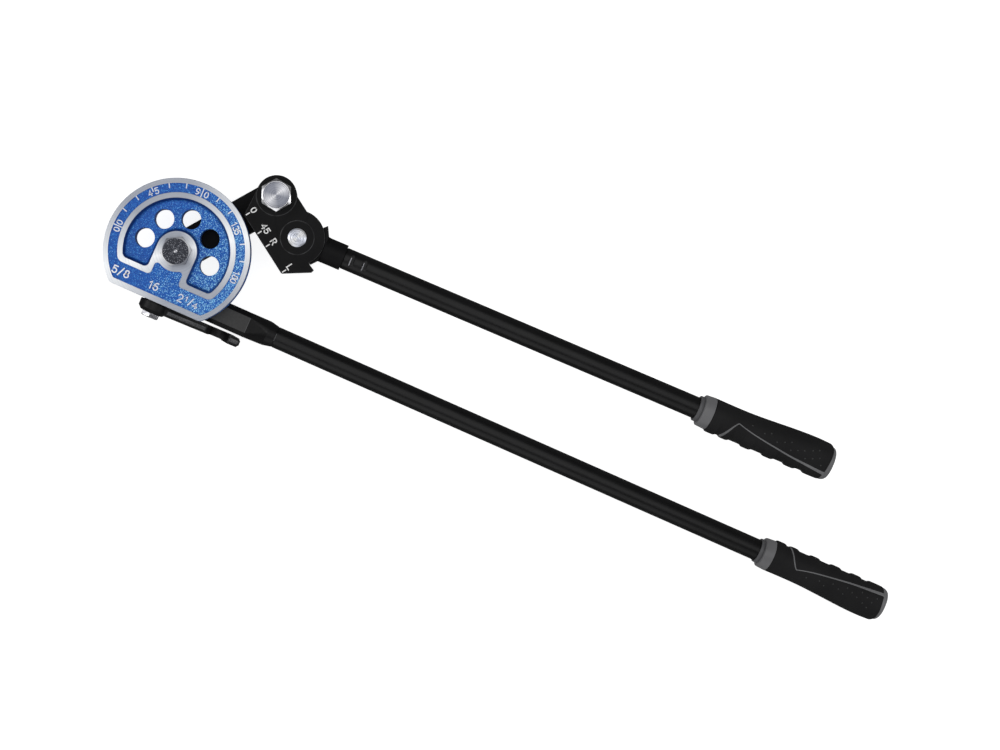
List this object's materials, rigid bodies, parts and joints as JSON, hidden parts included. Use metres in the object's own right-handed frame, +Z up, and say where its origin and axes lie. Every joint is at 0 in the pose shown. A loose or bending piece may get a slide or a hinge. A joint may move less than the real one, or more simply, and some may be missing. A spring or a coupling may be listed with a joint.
{
  "type": "tube bender",
  "caption": "Lever tube bender: blue scaled form wheel on a long handle, with a link arm, grooved forming shoe on a folding short handle, and a swinging latch that holds the tube.",
  "frame": {"origin": "under the middle of the form wheel, on the table plane at the end of the centre bolt", "axes": "+Z up along the wheel's axis, +X along the long handle, +Y towards the 90 mark of the scale"},
  "size_m": [0.6734, 0.1407, 0.0659],
  "materials": {
    "blue_wheel": "cast aluminium in blue metallic paint, with bare machined lands and raised bare figures",
    "black_steel": "satin black coated steel",
    "dark_steel": "dark oxidised steel with bright edges",
    "zinc_steel": "bright zinc-plated steel",
    "bush_brass": "plain bearing bronze",
    "grip_rubber": "soft black moulded grip with a grey inlaid line",
    "grip_plastic": "mid grey moulded plastic"
  },
  "bodies": {
    "form": {"form_wheel": "blue_wheel", "centre_bolt": "dark_steel", "centre_nut": "zinc_steel", "centre_washers": "zinc_steel", "handle_shank": "black_steel", "shank_screws": "dark_steel", "long_handle_tube": "black_steel", "long_grip_sleeve": "grip_rubber", "long_grip_collar": "grip_plastic", "long_grip_cap": "grip_plastic", "latch_bolt": "zinc_steel", "latch_spacer": "zinc_steel"},
    "latch": {"latch_hook": "black_steel"},
    "link": {"link_arm": "black_steel", "link_bush": "bush_brass", "shoe_bolt": "zinc_steel", "shoe_nut": "zinc_steel", "shoe_washers": "zinc_steel"},
    "shoe": {"forming_shoe": "black_steel", "yoke_rivet": "zinc_steel"},
    "short_handle": {"handle_yoke": "black_steel", "short_handle_tube": "black_steel", "short_grip_sleeve": "grip_rubber", "short_grip_collar": "grip_plastic", "short_grip_cap": "grip_plastic"}
  },
  "joints": [
    {"name": "link_swing", "type": "hinge", "parent": "form", "child": "link", "pos_m": [0, 0, 0.0445], "axis": [0, 0, 1], "range_deg": [-53.1, 130]},
    {"name": "shoe_tilt", "type": "hinge", "parent": "link", "child": "shoe", "pos_m": [0.05266, 0.07013, 0.0445], "axis": [0, 0, 1], "range_deg": [-12, 90]},
    {"name": "handle_swing", "type": "hinge", "parent": "shoe", "child": "short_handle", "pos_m": [0.0801, 0.04695, 0.0445], "axis": [0, 0, 1], "range_deg": [0, 46]},
    {"name": "latch_swing", "type": "hinge", "parent": "form", "child": "latch", "pos_m": [0, -0.0471, 0.0445], "axis": [0, -1, 0], "range_deg": [0, 202]}
  ]
}
